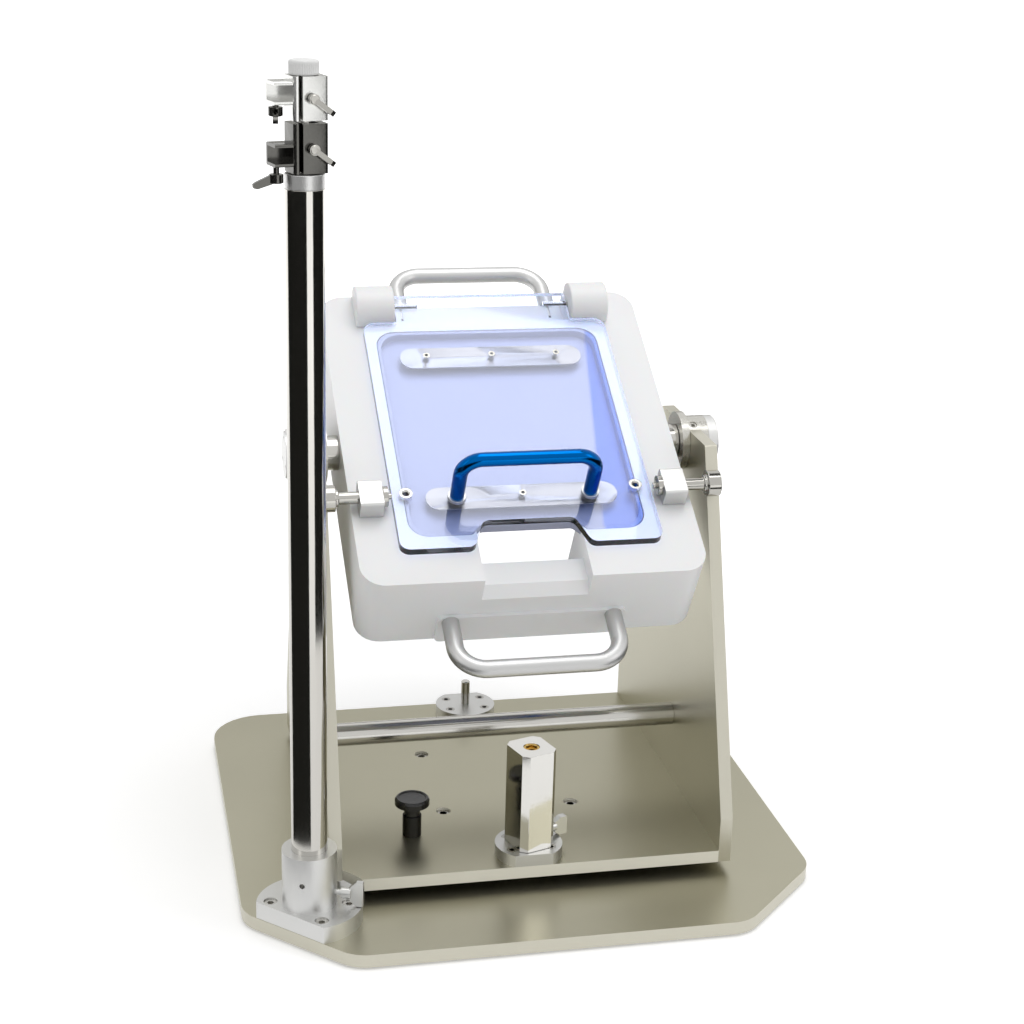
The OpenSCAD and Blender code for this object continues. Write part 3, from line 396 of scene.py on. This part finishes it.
# ---- Rod clamps ---------------------------------------------------------------------
# Two small clamps slide on a thin steel rod above the column, each with a jaw at its side
# and two lever screws. The lower one is gunmetal grey, the upper one satin.
gunmetal = finish_of("gunmetal", (0.11, 0.108, 0.10), 1.0, 0.18, 0.06, 500)
lever_steel = finish_of("lever_steel", (0.42, 0.41, 0.38), 1.0, 0.20, 0.08, 600)
bright_clamp = finish_of("bright_clamp", (0.66, 0.66, 0.64), 1.0, 0.22, 0.08, 900)
machined("top_rod", ground_steel, 0.0003)
for clamp, body in (("lower_clamp", gunmetal), ("upper_clamp", bright_clamp)):
    machined(clamp + "_body", body, 0.0007)
    machined(clamp + "_rod_screw", lever_steel, 0.0006)
    machined(clamp + "_jaw_screw", gunmetal, 0.0006)

# ---- Top knob -----------------------------------------------------------------------
# A white moulded cap on the thin rod's end, with fine vertical ribs round its side and a
# smooth domed top, pressed on over the rod.
white_cap = finish_of("white_cap", (0.80, 0.80, 0.79), 0.0, 0.45, 0.05, 500)


rib_low, rib_high = 0.0015, 0.0100
points_per_rib = 6
side_rings = 8


def ribbed_cap(low, high, ribs=40, rib_depth=0.0005, dome=0.0010):
    """A turned profile of rings from the underside's middle to the top's middle. On the side
    rings the radius is less by half the rib depth times one minus the cosine of the turn
    times the number of ribs; the top falls off with the square of the radius."""
    radius = (high[0] - low[0]) / 2
    across = np.array([0, 0.55, 0.90, 1.0, 1.0, 1.0, 1.0, 0.95, 0.86, 0.60, 0.30, 0])
    up = np.array([0, 0, 0, 0.0012, 0.0022, 0.0085, 0.0105, 0.0118, 0, 0, 0, 0])
    height = high[2] - low[2]
    top = np.arange(len(across)) >= side_rings
    up = np.where(top, height - dome * across ** 2, up)
    ribbed = np.where((up > rib_low) & (up < rib_high), 1.0, 0.0)
    turn = np.linspace(0, 2 * math.pi, ribs * points_per_rib, endpoint=False)
    cut = rib_depth / 2 * (1 - np.cos(ribs * turn))
    r = radius * across[:, None] - ribbed[:, None] * cut[None, :]
    middle = [(low[i] + high[i]) / 2 for i in range(2)]
    return np.stack([middle[0] + r * np.cos(turn), middle[1] + r * np.sin(turn),
                     np.broadcast_to(low[2] + up[:, None], r.shape)], axis=2)


def closed_rings(name, grid, material):
    """A closed surface from rings of points: neighbours joined into four-sided faces, with the
    first and last rings, which lie at one point, merged into a pole."""
    rings, around = grid.shape[:2]
    number = np.arange(rings * around).reshape(rings, around)
    after = np.roll(number, -1, axis=1)
    faces = np.stack([number[:-1], after[:-1], after[1:], number[1:]], axis=2).reshape(-1, 4)
    mesh = bpy.data.meshes.new(name)
    mesh.from_pydata(grid.reshape(-1, 3), [], faces.tolist())
    bm = bmesh.new()
    bm.from_mesh(mesh)
    bmesh.ops.remove_doubles(bm, verts=bm.verts, dist=1e-7)
    bmesh.ops.recalc_face_normals(bm, faces=bm.faces)
    bm.to_mesh(mesh)
    bm.free()
    mesh.materials.append(material)
    mesh.shade_smooth()
    return bpy.data.objects.new(name, mesh)


cap = closed_rings("top_knob_ribbed", ribbed_cap(*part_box("top_knob")), white_cap)
stand_in(cap, "top_knob")

# ---- Trunnions ----------------------------------------------------------------------
# Steel shafts from the tank's sides turn in two-step aluminium housings sunk into the side
# plates. A set screw holds each housing, and a cap covers its end.
trunnion_silver = finish_of("trunnion_silver", (0.56, 0.55, 0.51), 1.0, 0.26, 0.08, 1000)
machined("trunnion_housings", trunnion_silver, 0.0006)
machined("trunnion_set_screws", zinc, 0.0003)
machined("trunnion_shafts", ground_steel, 0.0005)
machined("trunnion_end_caps", blasted, 0.0008)

# ---- Tank frame ---------------------------------------------------------------------
# A thick block of milky polyethylene, milled out from above and below, with wide soft
# edges. The shafts, the handles and the latches are all screwed to it.
milky = finish_of("milky_polyethylene", (0.86, 0.865, 0.87), 0.0, 0.40, 0.06, 260, drift=0.012,
                  Subsurface_Weight=0.15, Subsurface_Scale=0.012)
machined("tank_frame", milky, 0.0045, steps=4, sharper_than=40)

# ---- Gel tray -----------------------------------------------------------------------
# A shallow tray of blue plastic, let into the frame's top under the lid. A painted reflection, a lavender
# grey, covers it and leaves a strip of the clear blue bare along the right.
tray_blue = finish_of("blue_tray", (0.004, 0.12, 0.56), 0.0, 0.24, 0.03, 300)
tray_nodes, tray_links = tray_blue.node_tree.nodes, tray_blue.node_tree.links
tray_skin = tray_nodes["Principled BSDF"]
tray_where = tray_nodes.new("ShaderNodeTexCoord")
reflection_edge = tray_nodes.new("ShaderNodeVectorMath")
reflection_edge.operation = "DOT_PRODUCT"
reflection_edge.inputs[1].default_value = (1.0, -0.14, 0.0)
tray_links.new(tray_where.outputs["Object"], reflection_edge.inputs[0])
unreflected_strip = tray_nodes.new("ShaderNodeMapRange")
unreflected_strip.interpolation_type = "SMOOTHSTEP"
unreflected_strip.inputs["From Min"].default_value = 0.086
unreflected_strip.inputs["From Max"].default_value = 0.092
tray_links.new(reflection_edge.outputs["Value"], unreflected_strip.inputs["Value"])
# Painted reflection: a lavender grey laid over the tray's blue, except on the bare strip along the right.
painted_reflection = tray_nodes.new("ShaderNodeMix")
painted_reflection.data_type = "RGBA"
painted_reflection.inputs[6].default_value = (0.40, 0.42, 0.54, 1)
tray_links.new(unreflected_strip.outputs[0], painted_reflection.inputs[0])
tray_links.new(tray_skin.inputs["Base Color"].links[0].from_socket, painted_reflection.inputs[7])
tray_links.new(painted_reflection.outputs[2], tray_skin.inputs["Base Color"])
machined("gel_tray", tray_blue, 0.0010)

# ---- Hinge --------------------------------------------------------------------------
# Two white blocks at the back of the frame, with round tops, and the steel pins that the
# lid's tongue turns on.
for side in ("left", "right"):
    machined("hinge_block_" + side, milky, 0.0018, steps=3)
machined("hinge_pins", ground_steel, 0.0003)

# ---- Lid ----------------------------------------------------------------------------
# A plate of clear acrylic with polished edges and a notch at the front for the fingers.
# It lies on the tray's rim and swings up on the hinge.
acrylic = finish_of("clear_acrylic", (0.80, 0.85, 1.0), 0.0, 0.03, drift=0.01, spread=0.01,
                    Transmission_Weight=1.0, IOR=1.49)
acrylic_nodes, acrylic_links = acrylic.node_tree.nodes, acrylic.node_tree.links
acrylic_ray = acrylic_nodes.new("ShaderNodeLightPath")
let_through = acrylic_nodes.new("ShaderNodeBsdfTransparent")
let_through.inputs["Color"].default_value = (0.86, 0.89, 1.0, 1)
either = acrylic_nodes.new("ShaderNodeMixShader")
acrylic_links.new(acrylic_ray.outputs["Is Shadow Ray"], either.inputs[0])
acrylic_links.new(acrylic_nodes["Principled BSDF"].outputs[0], either.inputs[1])
acrylic_links.new(let_through.outputs[0], either.inputs[2])
acrylic_links.new(either.outputs[0], acrylic_nodes["Material Output"].inputs["Surface"])
machined("lid_plate", acrylic, 0.0008)

# ---- Lid strips ---------------------------------------------------------------------
# Two flat steel strips with round ends, brushed lengthwise, lying on the lid. Small
# countersunk screws hold them.
strip_steel = finish_of("brushed_strip", (0.44, 0.43, 0.42), 1.0, 0.36, 0.18, 900, (0.04, 1, 1))
machined("lid_rear_strip", strip_steel, 0.0003)
machined("lid_front_strip", strip_steel, 0.0003)
machined("lid_strip_screws", lever_steel, 0.0002)

# ---- Lid handle ---------------------------------------------------------------------
# A bent aluminium bar, dyed deep blue, standing on two small rings over the front strip,
# and two plain sockets for the latch pins in the lid's edge.
dyed_blue = finish_of("dyed_blue", (0.0, 0.10, 0.36), 1.0, 0.18, 0.05, 900)
machined("lid_handle", dyed_blue, 0.0003)
machined("lid_handle_ferrules", satin, 0.0005)
machined("lid_pin_inserts", ground_steel, 0.0003)

# ---- Latches ------------------------------------------------------------------------
# A square block on each side of the frame guides a pulled pin with a turned knob, whose
# tip enters the socket in the lid's edge.
latch_steel = finish_of("latch_steel", (0.46, 0.45, 0.42), 1.0, 0.12, 0.04, 700, (0.05, 1, 1))
machined("latch_blocks", blasted, 0.0014, steps=3)
machined("latch_bushes", latch_steel, 0.0005)
for side in ("left", "right"):
    machined("latch_pin_" + side, latch_steel, 0.0008)

# ---- Carrying handles ---------------------------------------------------------------
# Two bent round bars of satin aluminium, one at each end of the frame, screwed on from
# inside through flat pads.
bent_bar = finish_of("bent_bar", (0.56, 0.56, 0.555), 1.0, 0.42, 0.10, 1400)
for end in ("front", "rear"):
    machined(end + "_handle", bent_bar, 0.0003)
